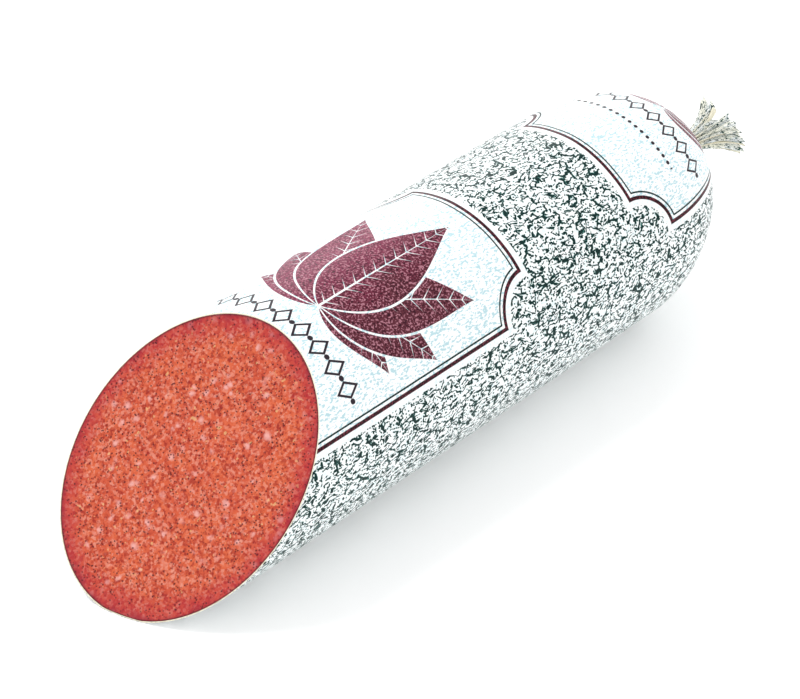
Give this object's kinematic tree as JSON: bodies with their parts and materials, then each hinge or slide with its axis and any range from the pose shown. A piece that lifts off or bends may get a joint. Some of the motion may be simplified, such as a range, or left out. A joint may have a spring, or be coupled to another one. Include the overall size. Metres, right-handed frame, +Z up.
{
  "type": "cured sausage",
  "caption": "Cut end of a large-calibre cured sausage in a printed casing, sliced at a slant, with a rounded end gathered in a wire clip and a pleated frill.",
  "frame": {"origin": "centre of the bounding box's bottom, on the surface the sausage lies on", "axes": "+X along the sausage from the cut end to the frill, +Z up"},
  "size_m": [0.3444, 0.09, 0.0894],
  "materials": {
    "meat": "moist matt, finely minced",
    "casing": "satin, printed fibrous film",
    "clip": "bright drawn wire"
  },
  "bodies": {
    "root": {"sausage_meat": "meat", "printed_casing": "casing", "end_clip": "clip"}
  },
  "joints": []
}
